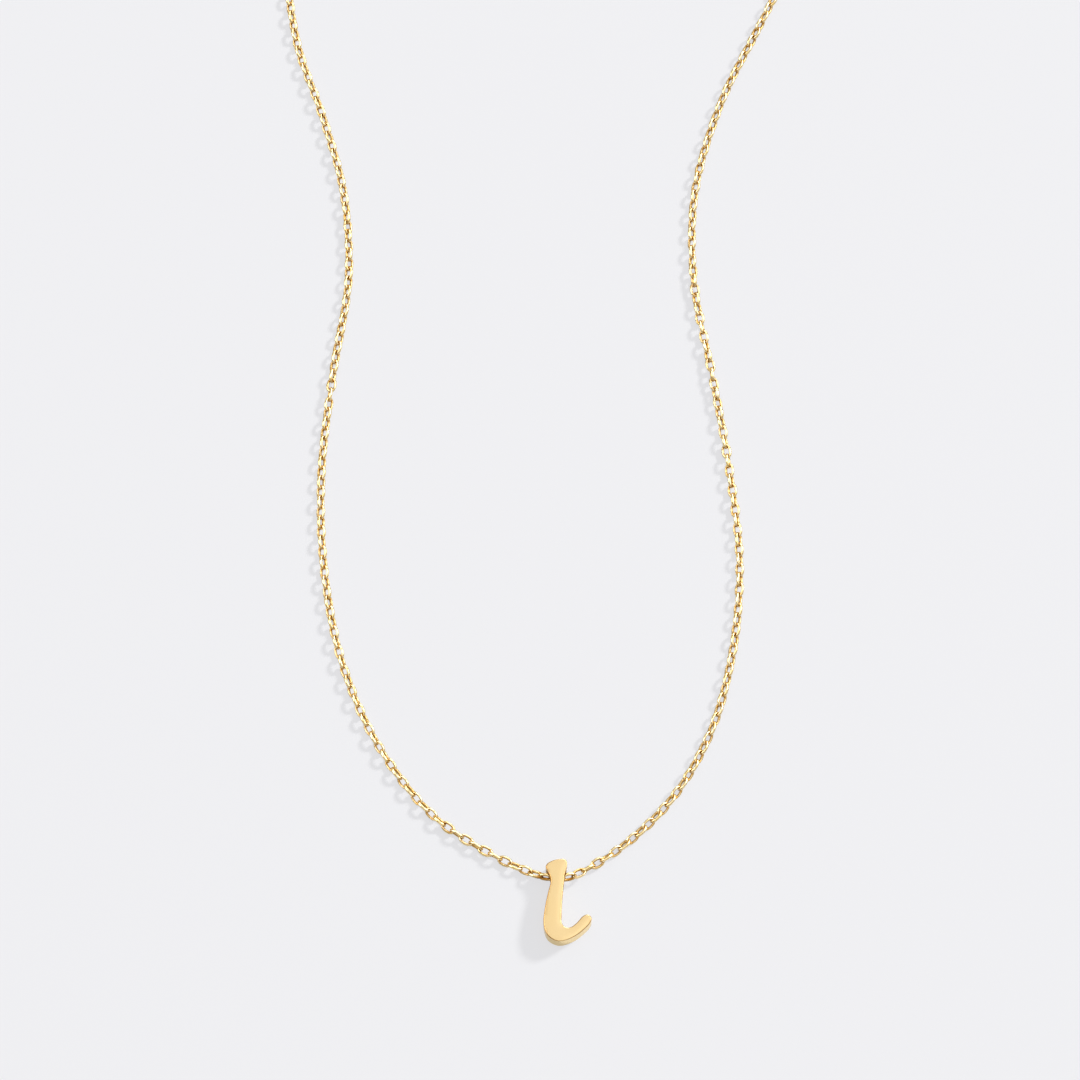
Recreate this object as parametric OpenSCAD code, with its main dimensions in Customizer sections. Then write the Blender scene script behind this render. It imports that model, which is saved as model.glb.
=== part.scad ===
// Initial pendant: a thick cast letter i, without a dot, threaded on a fine cable chain.
// The necklace lies flat as one closed loop, its letter at the front and its clasp at the back.
// Units are millimetres. +X is to the right, +Y from the letter to the clasp and +Z up.
// The origin is under the middle of the loop, on the surface that it lies on.

/* [Letter] */
// Width of the letter, from the back of its stem to the tip of its tail
letter_w = 4.67; // [4:0.01:7]
// Height of the letter, from the foot of its curve to its top
letter_h = 8.3; // [7:0.1:12]
// Metal left above and below the hole that the chain runs through
hole_wall = 0.3; // [0.2:0.05:0.8]

/* [Chain] */
// Width of the chain, across the outside of a link
chain_w = 1.05; // [0.8:0.05:1.3]
// Clearance round the chain in the letter's hole
chain_play = 0.12; // [0.1:0.01:0.25]

/* [Clasp] */
// Diameter of the barrel
barrel_d = 2.2; // [1.8:0.1:3]
// Length of the barrel, without its eyes
barrel_l = 5.6; // [4:0.1:8]
// Radius of the barrel's rounded ends
barrel_round = 0.45; // [0.2:0.05:0.6]
// Width of the groove round the middle, where the barrel's halves meet
groove_w = 0.24; // [0.1:0.02:0.4]
// Depth of that groove
groove_depth = 0.12; // [0.05:0.01:0.3]
// Thickness of the eyes' wire
eye_wire = 0.45; // [0.35:0.05:0.6]
// Inner diameter of the eyes
eye_bore = 1.2; // [0.9:0.1:1.6]
// Depth that an eye's wire is soldered into the barrel
eye_sink = 0.3; // [0.2:0.05:0.4]
// Gap between an eye and the end of the chain
end_gap = 0.15; // [0.1:0.05:0.3]

/* [Hidden] */
$fn = 64;

// The hole is bored to the chain's width, and the letter is as thick as it needs.
hole_d = chain_w + 2 * chain_play;
letter_t = hole_d + 2 * hole_wall;

// The letter's outline, clockwise from the left of its head, as shares of its width and height.
outline = [ // [across, up]
    [0.045, 0.905], [0.07, 0.94], [0.13, 0.965], [0.335, 1], [0.43, 1], // top of the head
    [0.475, 0.985], [0.49, 0.955], [0.49, 0.91], [0.445, 0.82], // right of the head
    [0.42, 0.69], [0.39, 0.505], [0.375, 0.3], // right of the stem
    [0.375, 0.235], [0.42, 0.185], [0.52, 0.165], [0.7, 0.23], // inside the curve
    [0.83, 0.31], [0.91, 0.325], [0.97, 0.31], [1, 0.275], [0.985, 0.24], // tip of the tail
    [0.845, 0.145], [0.585, 0.04], [0.305, 0], // underside of the tail
    [0.09, 0.065], [0, 0.21], [0.025, 0.4], [0.1, 0.61], // back of the stem
    [0.15, 0.745], [0.085, 0.855] // neck
];
// Edges along each stretch of the outline
outline_steps = 3;

// The hole crosses the neck along X. Its middle, as shares of the letter's width and height.
hole_across = 0.29;
hole_up = 0.81;
// Length of the straight run through the hole, as a share of the letter's width
hole_run = 0.47;
// The middle of the hole, where the chain passes at the front of the loop
hole_at = [-1.6, -83.3, letter_t / 2];

// The chain is a tube of eight sides here, lying on one of its flats.
chain_sides = 8;
chain_z = chain_w / 2 * cos(180 / chain_sides);
// Longest stretch between two rings of the tube
ring_gap = 6;

// The clasp lies on its side at the back of the loop.
clasp_at = [0, 88.9, barrel_d / 2];
eye_r = (eye_bore + eye_wire) / 2;
eye_x = barrel_l / 2 - eye_sink + eye_wire / 2 + eye_r;
chain_end = eye_x + eye_r + eye_wire / 2 + end_gap;

// Where the chain lies on the surface: down the left side, and back up the right.
left_side = [ // [x, y]
    [-18.6, 83], [-25.5, 75.5], [-30.5, 66], [-33.2, 55.5], [-33.6, 44.5], [-32.7, 33.5],
    [-31.3, 23.5], [-30, 14], [-28.9, 8], [-26.2, 0], [-23.8, -9], [-23.1, -18.5],
    [-24.5, -29.5], [-25.5, -41], [-24.9, -52], [-22.7, -62], [-18.6, -70.8],
    [-13, -77.6], [-8.2, -80.8]
];
right_side = [ // [x, y]
    [5.2, -79.7], [9.8, -75], [13.5, -68.5], [15.9, -60], [16.8, -50.5], [15.9, -40],
    [14.3, -29.5], [12.6, -19], [12.8, -9.5], [15.6, 1], [20.2, 11], [25, 21],
    [29.5, 31.5], [32.6, 42], [33.6, 52.5], [32.3, 63], [28.4, 72.5], [22, 80.6],
    [14.5, 86.1]
];
// Where the chain climbs to the clasp and to the letter: the last share is of the climb.
clasp_left = [-10.5, 87.7, 0.25];
letter_left = [-5, -82.4, 0.35];
letter_right = [1.8, -82.1, 0.4];
clasp_right = [9, 88.2, 0.3];

function on_surface(p) = [p.x, p.y, chain_z];
function climbing(p, top) = [p.x, p.y, chain_z + p.z * (top - chain_z)];

hole_half = [hole_run * letter_w / 2, 0, 0];
route = concat(
    [clasp_at - [chain_end, 0, 0], climbing(clasp_left, clasp_at.z)],
    [for (p = left_side) on_surface(p)],
    [climbing(letter_left, hole_at.z), hole_at - hole_half],
    [hole_at + hole_half, climbing(letter_right, hole_at.z)],
    [for (p = right_side) on_surface(p)],
    [climbing(clasp_right, clasp_at.z), clasp_at + [chain_end, 0, 0]]
);
// The chain leaves one eye of the clasp and enters the other in this direction.
end_dir = [-1, 0, 0];

// Direction of a smooth line at b, between its neighbours a and c: the nearer one counts more.
function middle_dir(a, b, c) =
    let (before = norm(b - a), after = norm(c - b))
    ((b - a) / before * after + (c - b) / after * before) / (before + after);

// A point at the share u of the smooth stretch from a to b, with its directions at both ends.
function along(a, dir_a, b, dir_b, u) =
    let (reach = norm(b - a))
    (2 * u ^ 3 - 3 * u ^ 2 + 1) * a + (u ^ 3 - 2 * u ^ 2 + u) * reach * dir_a
    + (3 * u ^ 2 - 2 * u ^ 3) * b + (u ^ 3 - u ^ 2) * reach * dir_b;

// Direction at point i of a closed line.
function closed_dir(line, i) =
    let (n = len(line))
    middle_dir(line[(i + n - 1) % n], line[i], line[(i + 1) % n]);

// A smooth closed line through the points, with the given edges along each stretch.
function closed_line(line, steps) =
    let (n = len(line))
    [for (i = [0 : n - 1], k = [0 : steps - 1])
        let (j = (i + 1) % n)
        along(line[i], closed_dir(line, i), line[j], closed_dir(line, j), k / steps)];

// Direction at point i of the route, level where the chain is level on one side of the point.
function route_dir(i) =
    i == 0 || i == len(route) - 1 ? end_dir :
    let (a = route[i - 1], b = route[i], c = route[i + 1], dir = middle_dir(a, b, c))
    [dir.x, dir.y, (b.z - a.z) * (c.z - b.z) > 0 ? dir.z : 0];

// The middles of the tube's rings.
rings = concat(
    [for (i = [0 : len(route) - 2])
        let (steps = ceil(norm(route[i + 1] - route[i]) / ring_gap))
        for (k = [0 : steps - 1])
            along(route[i], route_dir(i), route[i + 1], route_dir(i + 1), k / steps)],
    [route[len(route) - 1]]
);

// Direction of the tube at ring i.
function ring_dir(i) =
    i == 0 || i == len(rings) - 1 ? end_dir : middle_dir(rings[i - 1], rings[i], rings[i + 1]);

// The corners of one ring, square to the direction of the tube and with a flat side down.
function ring(at, dir) =
    let (side = [-dir.y, dir.x, 0] / norm([dir.x, dir.y]), top = cross(dir / norm(dir), side))
    [for (k = [0 : chain_sides - 1])
        let (turn = 360 / chain_sides * (k + 0.5))
        at + chain_w / 2 * (cos(turn) * side + sin(turn) * top)];

module initial_letter() {
    color("#f3d28f")
    difference() {
        translate([hole_at.x - hole_across * letter_w, hole_at.y - hole_up * letter_h, 0])
            linear_extrude(letter_t)
                polygon(closed_line([for (p = outline) [p.x * letter_w, p.y * letter_h]],
                                    outline_steps));
        translate(hole_at)
            rotate([0, 90, 0])
                cylinder(h = 2 * letter_w, d = hole_d, center = true);
    }
}

module chain() {
    last = len(rings) - 1;
    color("#e2b65c")
    polyhedron(
        points = [for (i = [0 : last]) each ring(rings[i], ring_dir(i))],
        faces = concat(
            [[for (k = [0 : chain_sides - 1]) k]],
            [for (i = [0 : last - 1], k = [0 : chain_sides - 1])
                let (j = (k + 1) % chain_sides, near = i * chain_sides, far = near + chain_sides)
                [far + k, far + j, near + j, near + k]],
            [[for (k = [chain_sides - 1 : -1 : 0]) last * chain_sides + k]]
        )
    );
}

// Half of the barrel's profile, turned about the Y axis: rounded ends, and a groove at the middle.
module barrel_profile() {
    half = barrel_l / 2;
    difference() {
        union() {
            translate([0, -half + barrel_round])
                square([barrel_d / 2, barrel_l - 2 * barrel_round]);
            translate([0, -half])
                square([barrel_d / 2 - barrel_round, barrel_l]);
            for (end = [-1, 1])
                translate([barrel_d / 2 - barrel_round, end * (half - barrel_round)])
                    circle(barrel_round);
        }
        translate([barrel_d / 2 - groove_depth, -groove_w / 2])
            square([barrel_d, groove_w]);
    }
}

module clasp() {
    color("#e9c274")
    translate(clasp_at) {
        rotate([0, 90, 0])
            rotate_extrude()
                barrel_profile();
        for (end = [-1, 1])
            translate([end * eye_x, 0, 0])
                rotate_extrude()
                    translate([eye_r, 0])
                        circle(d = eye_wire, $fn = 32);
    }
}

initial_letter();
chain();
clasp();
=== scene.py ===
import math
import random

import bmesh
import bpy
from mathutils import Matrix, Vector


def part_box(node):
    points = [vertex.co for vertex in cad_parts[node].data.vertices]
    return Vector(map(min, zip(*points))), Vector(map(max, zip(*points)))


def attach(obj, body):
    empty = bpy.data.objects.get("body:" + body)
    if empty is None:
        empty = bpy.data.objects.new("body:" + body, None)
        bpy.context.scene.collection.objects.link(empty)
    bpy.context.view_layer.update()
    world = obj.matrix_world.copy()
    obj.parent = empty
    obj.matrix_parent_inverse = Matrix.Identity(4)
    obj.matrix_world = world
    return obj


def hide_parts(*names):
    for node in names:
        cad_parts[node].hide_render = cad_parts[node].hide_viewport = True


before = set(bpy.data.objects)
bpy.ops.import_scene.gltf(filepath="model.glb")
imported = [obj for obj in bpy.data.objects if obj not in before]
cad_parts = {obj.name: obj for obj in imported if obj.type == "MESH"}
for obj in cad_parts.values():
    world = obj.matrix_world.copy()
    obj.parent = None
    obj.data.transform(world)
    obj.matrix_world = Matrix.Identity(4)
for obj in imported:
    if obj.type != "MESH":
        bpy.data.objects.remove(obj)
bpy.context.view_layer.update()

# The letter: a lower case i without its dot, cast thick and flat in brass, and gold plated.
# Polishing has rounded its edges and left its broad face falling a little towards its outline.
# The hole that the chain runs through is drilled from side to side through its neck.
MM = 0.001
letter_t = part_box("initial_letter")[1].z
face_edge_round = 0.1 * MM
back_edge_round = 0.12 * MM
bore_edge_round = 0.05 * MM
face_fall = 0.035 * MM
face_fall_width = 0.7 * MM
face_grid = 0.25 * MM
merge_gap = 0.0005 * MM
level_play = 0.001 * MM
flat_turn = math.radians(0.5)
sharp_turn = math.radians(45)
smooth_turn = math.radians(40)

# The middle and the radius of the hole, in millimetres as the chain's route is.
hole_at = Vector((-1.6, -83.3, 0.945))
hole_r = 0.645
hole_play = 0.013

LETTER_GOLD = (0.86, 0.69, 0.4, 1)
LETTER_GOLD_WARM = (0.86, 0.675, 0.375, 1)
# The next tone is that of painted shade, and the one after it that of wear and painted highlight.
PAINTED_SHADE_GOLD = (0.38, 0.16, 0.003, 1)
WORN_AND_HIGHLIGHT_GOLD = (0.88, 0.82, 0.66, 1)
PALE_EDGE = (1, 0.92, 0.7, 1)


def pick_only(piece):
    for other in bpy.context.selected_objects:
        other.select_set(False)
    piece.select_set(True)
    bpy.context.view_layer.objects.active = piece


def merged_copy(node, name):
    """A copy of one solid of the necklace, its triangles merged into clean faces, to be finished."""
    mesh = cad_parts[node].data.copy()
    mesh.name = name
    mesh.materials.clear()
    piece = bpy.data.objects.new(name, mesh)
    bpy.context.collection.objects.link(piece)
    pick_only(piece)
    bpy.ops.object.mode_set(mode="EDIT")
    bpy.ops.mesh.select_all(action="SELECT")
    bpy.ops.mesh.remove_doubles(threshold=merge_gap)
    bpy.ops.mesh.dissolve_limited(angle_limit=flat_turn)
    bpy.ops.mesh.normals_make_consistent(inside=False)
    bpy.ops.mesh.select_all(action="DESELECT")
    bpy.ops.object.mode_set(mode="OBJECT")
    return piece


def pick(piece, kind, wanted):
    """Selects, in edit mode, the piece's edges or faces for which wanted is true."""
    bpy.ops.object.mode_set(mode="EDIT")
    bpy.ops.mesh.select_all(action="DESELECT")
    bpy.ops.mesh.select_mode(type=kind)
    form = bmesh.from_edit_mesh(piece.data)
    for part in form.faces if kind == "FACE" else form.edges:
        part.select_set(wanted(part))
    bmesh.update_edit_mesh(piece.data)


def is_sharp(edge):
    return len(edge.link_faces) == 2 and edge.calc_face_angle() > sharp_turn


def on_level(vertices, z):
    return all(abs(v.co.z - z) < level_play for v in vertices)


def paint(piece, mask, amount):
    """Paints a mask on the piece: amount gives its value at a vertex, clipped to 0 and 1."""
    values = [min(1, max(0, amount(v))) for v in piece.data.vertices]
    painted = piece.data.attributes.get(mask) or piece.data.attributes.new(mask, "FLOAT", "POINT")
    painted.data.foreach_set("value", values)


letter = merged_copy("initial_letter", "letter")
outline = []
for edge in letter.data.edges:
    ends = [letter.data.vertices[i] for i in edge.vertices]
    if on_level(ends, letter_t):
        outline.append([end.co.copy() for end in ends])

pick(letter, "EDGE", lambda e: is_sharp(e) and on_level(e.verts, letter_t))
bpy.ops.mesh.bevel(offset=face_edge_round, segments=5, profile=0.5, clamp_overlap=True)
pick(letter, "EDGE", lambda e: is_sharp(e) and on_level(e.verts, 0))
bpy.ops.mesh.bevel(offset=back_edge_round, segments=3, profile=0.5, clamp_overlap=True)
pick(letter, "EDGE", is_sharp)
bpy.ops.mesh.bevel(offset=bore_edge_round, segments=2, profile=0.5, clamp_overlap=True)

# The broad face is cut into a grid, so that it has the points to fall gently by.
low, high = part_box("initial_letter")
for axis in (0, 1):
    for cut in range(1, math.ceil((high[axis] - low[axis]) / face_grid)):
        pick(letter, "FACE", lambda f: on_level(f.verts, letter_t))
        place = low.copy()
        place[axis] += cut * face_grid
        square_to = Vector((1 - axis, axis, 0))
        bpy.ops.mesh.bisect(plane_co=place, plane_no=square_to)
bpy.ops.mesh.select_all(action="DESELECT")
bpy.ops.object.mode_set(mode="OBJECT")


def from_outline(place):
    """Distance of a place on the face from the letter's outline."""
    nearest = math.inf
    for a, b in outline:
        share = min(1, max(0, (place - a).xy.dot((b - a).xy) / (b - a).xy.length_squared))
        nearest = min(nearest, (place - a - share * (b - a)).xy.length)
    return nearest


falling = letter.vertex_groups.new(name="falling face")
for v in letter.data.vertices:
    if v.co.z > letter_t - face_edge_round - level_play:
        falling.add([v.index], max(0, 1 - from_outline(v.co) / face_fall_width) ** 2, "REPLACE")
lower = letter.modifiers.new("face falls to its outline", "DISPLACE")
lower.direction = "Z"
lower.strength = -face_fall
lower.mid_level = 0
lower.vertex_group = falling.name
bpy.ops.object.modifier_apply(modifier=lower.name)
bpy.ops.object.shade_smooth_by_angle(angle=smooth_turn)
weigh = letter.modifiers.new("flat faces stay flat", "WEIGHTED_NORMAL")
weigh.keep_sharp = True
bpy.ops.object.modifier_apply(modifier=weigh.name)

# Painted shade on the letter, in a darker and rougher tone: full in the hole, strong on its rounded
# edges, less on those that turn to the right, and a little low on the left wall. A painted highlight
# makes the rounded edges that turn to the right paler.
edge_slope = 0.6
edge_spread = 0.4
edge_shade = 0.9
face_slope = 0.2
first_turn = 0.08
left_edge_shade = 4
right_edge_shade = 3
right_edge_most = 0.75
left_wall_shade = 0.6
wall_clear = 0.3
edge_highlight = 0.4


def in_bore(v):
    return math.hypot(v.co.y / MM - hole_at.y, v.co.z / MM - hole_at.z) < hole_r + hole_play


def on_edge(v):
    """From 0 on the face and the wall to 1 in the middle of the rounded edge between them."""
    return max(0, 1 - abs(v.normal.z - edge_slope) / edge_spread)


def letter_painted_shade(v):
    if in_bore(v):
        return 1
    wall = -left_wall_shade * v.normal.x - wall_clear - v.co.z / letter_t
    edge = edge_shade * on_edge(v) * (1 - v.normal.x)
    if v.normal.z > face_slope:
        turned_left = left_edge_shade * (-v.normal.x - first_turn)
        turned_right = right_edge_shade * (v.normal.x - first_turn)
        edge = max(edge, turned_left, min(right_edge_most, turned_right))
    return max(wall, edge)


# Painted shade on the letter: in the hole, on its rounded edges and low on the left wall.
paint(letter, "painted shade", letter_painted_shade)
# Painted highlight: the rounded edges that turn to the right, towards the lights, are paler.
paint(letter, "worn edge and painted highlight", lambda v: edge_highlight * on_edge(v) * v.normal.x)


def new_material(name):
    material = bpy.data.materials.new(name)
    material.use_nodes = True
    nodes = material.node_tree.nodes
    return material, nodes, material.node_tree.links, nodes["Principled BSDF"]


# The effect of plating, polishing and wear that all the golds of the necklace share: clouds of a
# warmer tone, fine scratches, a paler tone that is partly rubbed wear and partly painted highlight,
# and a darker, rougher tone that is painted shade.
# Scales count the marks in a metre. Spans are the values of the noise over which a mark sets in,
# and roughness values say how much each kind of mark adds.
CLOUD_SCALE = 420
CLOUD_DETAIL = 4
CLOUD_SPAN = (0.35, 0.7)
PATCH_SCALE = 1500
PATCH_DETAIL = 2
RUBBED_AND_HIGHLIGHT_SPAN = (0.35, 0.6)
RUBBED_AND_HIGHLIGHT_LEAST = 0.3
RUBBED_AND_HIGHLIGHT_ROUGH = 0.14
SHADE_SPAN = (0.3, 0.7)
SHADE_LEAST = 0.7
SHADE_ROUGH = 0.1
SCRATCH_SCALE = 2600
SCRATCH_DETAIL = 3
SCRATCH_SPAN = (0.55, 0.75)
SCRATCH_STRETCH = (1, 7, 7)
SCRATCH_TURN = (0, 0, math.radians(38))
SCRATCH_ROUGH = 0.12
plating = bpy.data.node_groups.new("plating with painted shade and highlight", "ShaderNodeTree")
plating_inputs = (
    ("Tone", "Color", LETTER_GOLD),
    ("Warm Tone", "Color", LETTER_GOLD_WARM),
    ("Painted Shade Tone", "Color", PAINTED_SHADE_GOLD),
    ("Worn And Highlight Tone", "Color", WORN_AND_HIGHLIGHT_GOLD),
    ("Painted Shade", "Float", 0),
    ("Worn Edge And Highlight", "Float", 0),
    ("Gloss", "Float", 0.1),
    ("Scratches", "Float", 0.5))
for label, kind, value in plating_inputs:
    socket = plating.interface.new_socket(name=label, in_out="INPUT", socket_type="NodeSocket" + kind)
    socket.default_value = value
for label, kind in (("Color", "Color"), ("Roughness", "Float"), ("Height", "Float")):
    plating.interface.new_socket(name=label, in_out="OUTPUT", socket_type="NodeSocket" + kind)
given = plating.nodes.new("NodeGroupInput").outputs
made = plating.nodes.new("NodeGroupOutput").inputs
at_place = plating.nodes.new("ShaderNodeTexCoord").outputs["Object"]


def plating_noise(scale, detail, place):
    noise = plating.nodes.new("ShaderNodeTexNoise")
    noise.inputs["Scale"].default_value = scale
    noise.inputs["Detail"].default_value = detail
    plating.links.new(place, noise.inputs["Vector"])
    return noise.outputs["Fac"]


def plating_range(value, span, to_low, to_high):
    ramp = plating.nodes.new("ShaderNodeMapRange")
    ramp.inputs["From Min"].default_value = span[0]
    ramp.inputs["From Max"].default_value = span[1]
    ramp.inputs["To Min"].default_value = to_low
    ramp.inputs["To Max"].default_value = to_high
    plating.links.new(value, ramp.inputs["Value"])
    return ramp.outputs["Result"]


def plating_math(operation, *values):
    node = plating.nodes.new("ShaderNodeMath")
    node.operation = operation
    for socket, value in zip(node.inputs, values):
        if isinstance(value, (int, float)):
            socket.default_value = value
        else:
            plating.links.new(value, socket)
    return node.outputs["Value"]


def plating_mix(share, a, b):
    mix = plating.nodes.new("ShaderNodeMix")
    mix.data_type = "RGBA"
    for value, label in ((share, "Factor"), (a, "A"), (b, "B")):
        plating.links.new(value, mix.inputs[label])
    return mix.outputs["Result"]


stretch = plating.nodes.new("ShaderNodeMapping")
stretch.inputs["Scale"].default_value = SCRATCH_STRETCH
stretch.inputs["Rotation"].default_value = SCRATCH_TURN
plating.links.new(at_place, stretch.inputs["Vector"])
cloud = plating_noise(CLOUD_SCALE, CLOUD_DETAIL, at_place)
patches = plating_noise(PATCH_SCALE, PATCH_DETAIL, at_place)
fine_lines = plating_noise(SCRATCH_SCALE, SCRATCH_DETAIL, stretch.outputs["Vector"])
scratch = plating_range(fine_lines, SCRATCH_SPAN, 0, SCRATCH_ROUGH)
rub_and_highlight_patches = plating_range(patches, RUBBED_AND_HIGHLIGHT_SPAN, RUBBED_AND_HIGHLIGHT_LEAST, 1)
# Paler where worn and where a highlight is painted, darker and rougher where shade is painted.
rubbed_and_highlight = plating_math("MULTIPLY", given["Worn Edge And Highlight"], rub_and_highlight_patches)
shade_patches = plating_range(patches, SHADE_SPAN, 1, SHADE_LEAST)
painted_shade = plating_math("MULTIPLY", given["Painted Shade"], shade_patches)
warmth = plating_range(cloud, CLOUD_SPAN, 0, 1)
tone = plating_mix(warmth, given["Tone"], given["Warm Tone"])
tone = plating_mix(rubbed_and_highlight, tone, given["Worn And Highlight Tone"])
tone = plating_mix(painted_shade, tone, given["Painted Shade Tone"])
roughness = plating_math("MULTIPLY_ADD", scratch, given["Scratches"], given["Gloss"])
roughness = plating_math("MULTIPLY_ADD", rubbed_and_highlight, RUBBED_AND_HIGHLIGHT_ROUGH, roughness)
roughness = plating_math("MULTIPLY_ADD", painted_shade, SHADE_ROUGH, roughness)
plating.links.new(tone, made["Color"])
plating.links.new(roughness, made["Roughness"])
plating.links.new(cloud, made["Height"])

LACQUER_ROUGH = 0.15
RIPPLE = 0.3
ripple_depth = 0.02 * MM


def gold(name, tone, warm_tone, edge_tone, lacquer, gloss, scratches):
    """Gold plating under clear lacquer, that turns to its edge tone where it is seen at a slant."""
    material, nodes, links, shader = new_material(name)
    shader.inputs["Metallic"].default_value = 1
    shader.inputs["Specular Tint"].default_value = edge_tone
    shader.inputs["Coat Weight"].default_value = lacquer
    shader.inputs["Coat Roughness"].default_value = LACQUER_ROUGH
    surface = nodes.new("ShaderNodeGroup")
    surface.node_tree = plating
    for label, value in (("Tone", tone), ("Warm Tone", warm_tone), ("Painted Shade Tone", PAINTED_SHADE_GOLD),
                         ("Worn And Highlight Tone", WORN_AND_HIGHLIGHT_GOLD), ("Gloss", gloss), ("Scratches", scratches)):
        surface.inputs[label].default_value = value
    # Masks painted on the piece give its painted shade and its paler wear and painted highlight.
    for mask, label in (("painted shade", "Painted Shade"), ("worn edge and painted highlight", "Worn Edge And Highlight")):
        painted = nodes.new("ShaderNodeAttribute")
        painted.attribute_name = mask
        links.new(painted.outputs["Fac"], surface.inputs[label])
    links.new(surface.outputs["Color"], shader.inputs["Base Color"])
    links.new(surface.outputs["Roughness"], shader.inputs["Roughness"])
    bump = nodes.new("ShaderNodeBump")
    bump.inputs["Strength"].default_value = RIPPLE
    bump.inputs["Distance"].default_value = ripple_depth
    links.new(surface.outputs["Height"], bump.inputs["Height"])
    links.new(bump.outputs["Normal"], shader.inputs["Normal"])
    return material


letter.data.materials.append(gold(
    "letter gold", LETTER_GOLD, LETTER_GOLD_WARM, PALE_EDGE, lacquer=0.3, gloss=0.17, scratches=0.5))
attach(letter, "root")
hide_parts("initial_letter")

# The chain: a fine cable chain of gold plated brass, its oval links each turned across the last.
# Every link is bent from wire a little deeper than it is wide, hooked into its neighbour and closed.
# It runs from one eye of the clasp through the letter's hole and back to the other eye.
link_w = 1.05 * MM
link_pitch = 1.1 * MM
wire_d = 0.275 * MM
wire_depth = 0.33 * MM
link_segments = 12
wire_sides = 6
CHAIN_GOLD = (0.88, 0.7, 0.3, 1)
CHAIN_GOLD_WARM = (0.9, 0.68, 0.25, 1)
CHAIN_EDGE = (1, 0.82, 0.45, 1)

# The route is in millimetres. These are its ends at the clasp's eyes and at the letter's hole, and
# the height of its middle where it lies on the table.
hole_half = Vector((1.097, 0, 0))
clasp_at = Vector((0, 88.9, 1.1))
chain_end = Vector((4.75, 0, 0))
chain_z = 0.485
route_steps = 60

left_side = [
    (-18.6, 83), (-25.5, 75.5), (-30.5, 66), (-33.2, 55.5), (-33.6, 44.5), (-32.7, 33.5),
    (-31.3, 23.5), (-30, 14), (-28.9, 8), (-26.2, 0), (-23.8, -9), (-23.1, -18.5),
    (-24.5, -29.5), (-25.5, -41), (-24.9, -52), (-22.7, -62), (-18.6, -70.8),
    (-13, -77.6), (-8.2, -80.8)]
right_side = [
    (5.2, -79.7), (9.8, -75), (13.5, -68.5), (15.9, -60), (16.8, -50.5), (15.9, -40),
    (14.3, -29.5), (12.6, -19), (12.8, -9.5), (15.6, 1), (20.2, 11), (25, 21),
    (29.5, 31.5), (32.6, 42), (33.6, 52.5), (32.3, 63), (28.4, 72.5), (22, 80.6),
    (14.5, 86.1)]


def climbing(x, y, share, top):
    return Vector((x, y, chain_z + share * (top - chain_z)))


route = [
    clasp_at - chain_end, climbing(-10.5, 87.7, 0.25, clasp_at.z),
    *(Vector((x, y, chain_z)) for x, y in left_side),
    climbing(-5, -82.4, 0.35, hole_at.z), hole_at - hole_half,
    hole_at + hole_half, climbing(1.8, -82.1, 0.4, hole_at.z),
    *(Vector((x, y, chain_z)) for x, y in right_side),
    climbing(9, 88.2, 0.3, clasp_at.z), clasp_at + chain_end]


def route_direction(i):
    """Direction of the route at point i: the clasp's at both ends, and level next to a level part."""
    if i in (0, len(route) - 1):
        return Vector((-1, 0, 0))
    before, after = route[i] - route[i - 1], route[i + 1] - route[i]
    b, a = before.length, after.length
    middle = (before / b * a + after / a * b) / (a + b)
    if before.z * after.z <= 0:
        middle.z = 0
    return middle


def along(a, dir_a, b, dir_b, u):
    """The point at the share u of the smooth stretch from a to b."""
    reach = (b - a).length
    return ((2 * u**3 - 3 * u**2 + 1) * a + (u**3 - 2 * u**2 + u) * reach * dir_a
            + (3 * u**2 - 2 * u**3) * b + (u**3 - u**2) * reach * dir_b)


line = [along(route[i], route_direction(i), route[i + 1], route_direction(i + 1), k / route_steps)
        for i in range(len(route) - 1) for k in range(route_steps)] + [route[-1]]
reach = [0.0]
for a, b in zip(line, line[1:]):
    reach.append(reach[-1] + (b - a).length)

# Along the route, in millimetres, the place of a few links, counted from the clasp: the chain is
# taut at the letter and slack elsewhere. The twist is in degrees, and each link adds a quarter turn.
spacing = [
    (0, -0.06), (84, 90.3), (130, 139.1), (173, 185.7), (187, 201.1), (282, 303.2), (369, 396.38)]
twist = [
    (0, 90), (12, 40), (106, 40), (110, 58), (114, 42), (124, 38), (129, -50), (172, -58),
    (174, -94), (178, -88), (180, -48), (182, -40), (183, -20), (184, -34), (186, -24),
    (188, 20), (190, 40), (209, 44), (221, 57), (230, 62), (233, 78), (237, 38), (241, 4),
    (245, 70), (247, 66), (250, 12), (254, 56), (258, 42), (261, 55), (282, 48), (357, 48),
    (369, 0)]
roll_spread = 7
yaw_spread = 0.05


def between(table, s):
    for (s0, v0), (s1, v1) in zip(table, table[1:]):
        if s <= s1:
            return v0 + (v1 - v0) * (s - s0) / (s1 - s0)
    return table[-1][1]


def place_on_route(s):
    k = next((i for i in range(len(reach) - 2) if reach[i + 1] >= s), len(reach) - 2)
    t = (s - reach[k]) / (reach[k + 1] - reach[k])
    return line[k].lerp(line[k + 1], t), (line[k + 1] - line[k]).normalized()


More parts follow.
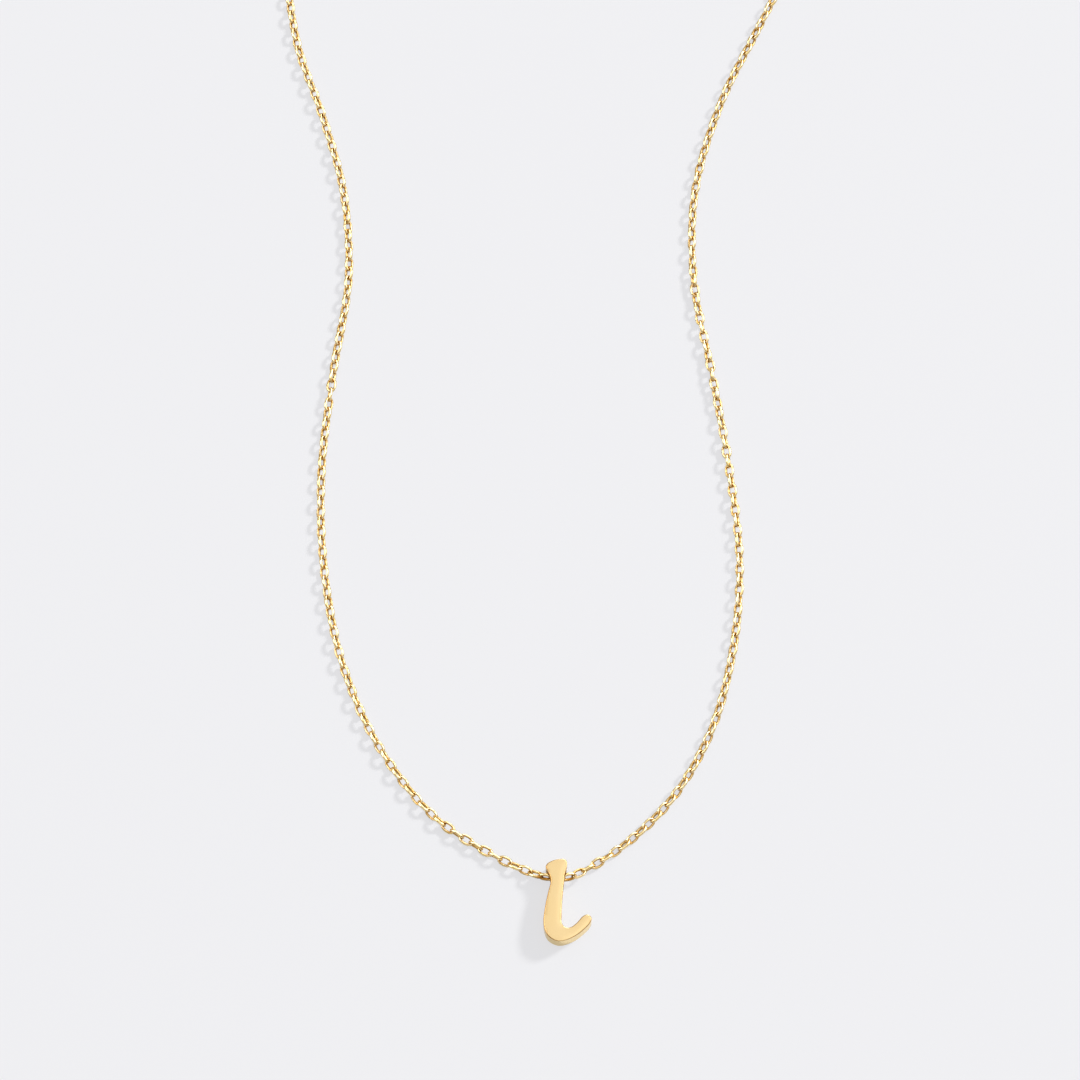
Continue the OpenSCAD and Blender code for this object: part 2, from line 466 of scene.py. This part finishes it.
# One link: a thin ring is stretched to an oval, its wire is thickened and made deeper than it is
# wide, and its two halves are drawn apart to the link's full length.
bar_offset = (link_w - wire_d) / 2
link_l = link_pitch + 2 * wire_d
oval = 1.58
thin = wire_d / 10
bpy.ops.mesh.primitive_torus_add(major_radius=bar_offset, minor_radius=thin,
                                 major_segments=link_segments, minor_segments=wire_sides)
link = bpy.context.object
pick_only(link)
bpy.ops.object.shade_smooth()
bpy.ops.object.mode_set(mode="EDIT")
bpy.ops.mesh.select_all(action="SELECT")
bpy.ops.transform.resize(value=(oval, 1, 1))
bpy.ops.transform.shrink_fatten(value=wire_d / 2 - thin)
bpy.ops.transform.resize(value=(1, 1, wire_depth / wire_d))
for side in (-1, 1):
    bpy.ops.mesh.select_all(action="DESELECT")
    form = bmesh.from_edit_mesh(link.data)
    for v in form.verts:
        v.select_set(v.co.x * side > thin)
    form.select_flush_mode()
    bmesh.update_edit_mesh(link.data)
    bpy.ops.transform.translate(value=(side * (link_l / 2 - wire_d / 2 - oval * bar_offset), 0, 0))
bpy.ops.object.mode_set(mode="OBJECT")

# Where a link takes painted shade, and where it is paler, partly from wear and partly as a painted
# highlight. Places along it are shares of its half length.
joint_start = 0.3
joint_fade = 0.25
tip_facing = 0.7
tip_fade = 0.2
inside_shade = 0.6
rub_and_highlight_start = 0.3


def facing_out(v):
    """How far the wire's surface faces away from the middle of the link, from -1 to 1."""
    return v.normal.dot(Vector((v.co.x / oval, v.co.y * oval, 0)).normalized())


def in_joint(v):
    """From 0 on the bars to 1 where the surface at the tips of the link meets its neighbour."""
    to_tip = min(1, max(0, (abs(v.co.x) / (link_l / 2) - joint_start) / joint_fade))
    return max((1 - 2 * facing_out(v)) * to_tip, (abs(v.normal.x) - tip_facing) / tip_fade)


# Painted shade at the joints and on the inner sides of the bars.
paint(link, "painted shade", lambda v: max(in_joint(v), -inside_shade * facing_out(v)))
# Paler on the outer sides and broad faces: partly wear, partly painted highlight.
paint(link, "worn edge and painted highlight", lambda v: max(facing_out(v), abs(v.normal.z)) - rub_and_highlight_start)

# The two links at the mouths of the letter's hole take painted shade for the letter's shadow, all
# but on their outer sides, the left one more so: by the first value on the wire's flanks, less the
# second one where it faces out. The links next to the left one take painted shade in the half that
# points to that mouth.
left_mouth = hole_at.x - hole_half.x
right_mouth = hole_at.x + hole_half.x
left_mouth_shade = (1.6, 2)
right_mouth_shade = (0.9, 1.2)
mouth_start = 0.2
mouth_fade = 0.3


# Painted shade for the letter's shadow on the links in and beside its hole.
def shade_at_mouth(copy, at):
    from_left = abs(at.x - left_mouth) * MM
    from_right = abs(at.x - right_mouth) * MM
    if min(from_left, from_right) < link_pitch / 2:
        on_flanks, less_outside = left_mouth_shade if from_left < from_right else right_mouth_shade
        paint(copy, "painted shade", lambda v: on_flanks - less_outside * facing_out(v))
    elif from_left < link_pitch * 1.5:
        half = math.copysign(link_l / 2, left_mouth - at.x)
        paint(copy, "painted shade", lambda v: max(in_joint(v), (v.co.x / half - mouth_start) / mouth_fade))


# The links are laid along the route. Each lies on the table, or hangs this much, in millimetres,
# below its higher neighbour, and is rolled and turned aside a little by chance.
hang = 0.06
chance = random.Random(11)
count = spacing[-1][0] + 1
rolls = [math.radians(between(twist, n) + 90 * n + chance.uniform(-roll_spread, roll_spread))
         for n in range(count)]
rest = [(bar_offset * abs(math.sin(r)) + math.hypot(wire_d * math.sin(r), wire_depth * math.cos(r)) / 2)
        / MM for r in rolls]
links = []
for n in range(count):
    s = between(spacing, n)
    on_line = min(max(s, 0), reach[-1])
    at, ahead = place_on_route(on_line)
    at = at + ahead * (s - on_line)
    near = [rest[k] for k in (n - 1, n + 1) if 0 <= k < count]
    lying = max(rest[n], max(near) - hang)
    top = clasp_at.z if at.y > 0 else hole_at.z
    climb = min(1, (at.z - chain_z) / (top - chain_z))
    at.z = lying + (at.z - lying) * climb
    yaw = Vector((chance.uniform(-yaw_spread, yaw_spread), chance.uniform(-yaw_spread, yaw_spread), 0))
    ahead = (ahead + yaw).normalized()
    side = Vector((-ahead.y, ahead.x, 0)).normalized()
    up = ahead.cross(side)
    across = side * math.cos(rolls[n]) + up * math.sin(rolls[n])
    turn = Matrix((ahead, across, ahead.cross(across))).transposed().to_4x4()
    copy = link.copy()
    copy.data = link.data.copy()
    if at.y < 0:
        shade_at_mouth(copy, at)
    copy.data.transform(Matrix.Translation(at * MM) @ turn)
    bpy.context.collection.objects.link(copy)
    links.append(copy)
bpy.data.objects.remove(link)
chain = links[0]
pick_only(chain)
for other in links:
    other.select_set(True)
bpy.ops.object.join()
chain.name = "chain_links"
chain.data.materials.append(gold(
    "chain gold", CHAIN_GOLD, CHAIN_GOLD_WARM, CHAIN_EDGE, lacquer=0.05, gloss=0.06, scratches=0.5))
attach(chain, "root")
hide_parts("chain")

# The clasp: a plain barrel clasp of gold plated brass, closed, with a soldered eye at each end.
# Its two halves screw together at the groove, and the end links of the chain hang in its eyes.
CLASP_GOLD = (0.9, 0.7, 0.33, 1)
CLASP_GOLD_WARM = (0.9, 0.67, 0.28, 1)

# Sizes of the clasp in millimetres. Those of the groove and of the eyes' roots reach a little past.
barrel_r = 1.1
barrel_half = 2.8
barrel_round = 0.45
rim_middle = 0.25
groove_half = 0.13
groove_rim_r = 1.09
eye_root_r = 0.45
eye_root_from = 2.75
eye_root_to = 2.92
clasp = merged_copy("clasp", "barrel_clasp")
bpy.ops.object.shade_smooth_by_angle(angle=smooth_turn)


def from_axis(v):
    return math.hypot(v.co.y / MM - clasp_at.y, v.co.z / MM - clasp_at.z)


def in_seam(v):
    """1 in the groove and where the eyes meet the barrel, 0 elsewhere."""
    along_barrel = abs(v.co.x / MM)
    in_groove = along_barrel < groove_half and from_axis(v) < groove_rim_r
    at_eye = eye_root_from < along_barrel < eye_root_to and from_axis(v) < eye_root_r
    return 1 if in_groove or at_eye else 0


def on_rim(v):
    """From 0 on the straight barrel to 1 in the middle of its rounded ends."""
    if from_axis(v) < barrel_r - barrel_round:
        return 0
    into_round = abs(v.co.x / MM) - (barrel_half - barrel_round)
    return max(0, 1 - abs(into_round - rim_middle) / rim_middle)


# Painted shade in the groove and where the eyes meet the barrel. The rims of the barrel's rounded ends
# are paler.
paint(clasp, "painted shade", in_seam)
paint(clasp, "worn edge and painted highlight", on_rim)
clasp.data.materials.append(gold(
    "clasp gold", CLASP_GOLD, CLASP_GOLD_WARM, PALE_EDGE, lacquer=0.3, gloss=0.13, scratches=0.6))
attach(clasp, "root")
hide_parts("clasp")

# The table top that the necklace lies on: plain, pale and matt, and lit evenly from within.
# What is seen of it is mostly its own glow, so that shadows on it stay as faint as in the photo.
# What the gold mirrors of it glows less and takes more light, so that its shadow shows there.
table_size = 40
GLOW_TINT = (1, 1, 1.03, 1)
TABLE_SEEN = (0.13, 0.13, 0.131, 1)
TABLE_MIRRORED = (0.32, 0.32, 0.323, 1)
GLOW_MIRRORED = 0.44
GLOW_MORE_SEEN = 0.224
bpy.ops.mesh.primitive_plane_add(size=table_size)
floor = bpy.context.object
floor.name = "table_top"
material, nodes, links, shader = new_material("pale table top")
shader.inputs["Roughness"].default_value = 1
shader.inputs["Specular IOR Level"].default_value = 0
shader.inputs["Emission Color"].default_value = GLOW_TINT
ray = nodes.new("ShaderNodeLightPath")
surface = nodes.new("ShaderNodeMix")
surface.data_type = "RGBA"
surface.inputs["A"].default_value = TABLE_MIRRORED
surface.inputs["B"].default_value = TABLE_SEEN
glow = nodes.new("ShaderNodeMath")
glow.operation = "MULTIPLY_ADD"
glow.inputs[1].default_value = GLOW_MORE_SEEN
glow.inputs[2].default_value = GLOW_MIRRORED
links.new(ray.outputs["Is Camera Ray"], surface.inputs["Factor"])
links.new(ray.outputs["Is Camera Ray"], glow.inputs[0])
links.new(surface.outputs["Result"], shader.inputs["Base Color"])
links.new(glow.outputs["Value"], shader.inputs["Emission Strength"])
floor.data.materials.append(material)

# The studio: a dim grey room, which looks warmer in the gold, with a wide soft light overhead.
# A small key light gives the shadows, and a larger, dimmer one in its place the glint on the gold.
# Cards stood low round the table, and a faint glow on the right, shine in the metal alone.
ROOM = (0.26, 0.26, 0.26, 1)
WARM_ROOM = (0.35, 0.27, 0.14, 1)
BEYOND_TABLE = (0.871, 0.871, 0.888, 1)
light_distance = 4
world = bpy.context.scene.world or bpy.data.worlds.new("studio")
bpy.context.scene.world = world
world.use_nodes = True
tree = world.node_tree
tree.nodes.clear()


def backdrop(color):
    node = tree.nodes.new("ShaderNodeBackground")
    node.inputs["Color"].default_value = color
    return node.outputs["Background"]


def split_by(rays, for_others, for_these):
    mix = tree.nodes.new("ShaderNodeMixShader")
    tree.links.new(rays, mix.inputs["Fac"])
    tree.links.new(for_others, mix.inputs[1])
    tree.links.new(for_these, mix.inputs[2])
    return mix.outputs["Shader"]


ray = tree.nodes.new("ShaderNodeLightPath")
in_metal = split_by(ray.outputs["Is Glossy Ray"], backdrop(ROOM), backdrop(WARM_ROOM))
studio = split_by(ray.outputs["Is Camera Ray"], in_metal, backdrop(BEYOND_TABLE))
out = tree.nodes.new("ShaderNodeOutputWorld")
tree.links.new(studio, out.inputs["Surface"])


def soft_light(name, azimuth, elevation, size, radiance, on_table=True, on_gold=True):
    """A round soft light that faces the necklace. Its azimuth counts from +X towards +Y."""
    a, e = math.radians(azimuth), math.radians(elevation)
    data = bpy.data.lights.new(name, "AREA")
    data.shape = "DISK"
    data.size = size
    data.energy = radiance * math.pi * math.pi * (size / 2) ** 2
    light = bpy.data.objects.new(name, data)
    towards = Vector((math.cos(a) * math.cos(e), math.sin(a) * math.cos(e), math.sin(e)))
    light.location = towards * light_distance
    light.rotation_euler = light.location.to_track_quat("Z", "Y").to_euler()
    light.visible_diffuse = on_table
    light.visible_glossy = on_gold
    bpy.context.collection.objects.link(light)


soft_light("overhead", 45, 74, 9.6, 0.72)
soft_light("right glow", 15, 61, 3.65, 0.2, on_table=False)
soft_light("right card", 24, 36, 2.8, 3.6, on_table=False)
soft_light("left card", 170, 38, 2.9, 3.7, on_table=False)
soft_light("back card", 75, 26, 2.9, 3.4, on_table=False)
soft_light("front card", 270, 40, 5, 0.3, on_table=False)
soft_light("key", 32, 32, 0.66, 265, on_gold=False)
soft_light("key glint", 32, 32, 1.2, 4, on_table=False)

# The camera: almost overhead, tilted as in the photo, with its view centred on this point of the
# table.
view_middle = Vector((-3.3, -47.7, 0)) * MM
view_tilt = math.radians(21)
view_distance = 409.09 * MM
camera = bpy.data.objects.new("camera", bpy.data.cameras.new("camera"))
camera.data.lens = 135
camera.data.sensor_width = 36
camera.location = view_middle + view_distance * Vector((0, -math.sin(view_tilt), math.cos(view_tilt)))
camera.rotation_euler = (view_tilt, 0, 0)
bpy.context.collection.objects.link(camera)
bpy.context.scene.camera = camera
bpy.context.scene.view_settings.view_transform = "Standard"

bpy.context.view_layer.update()
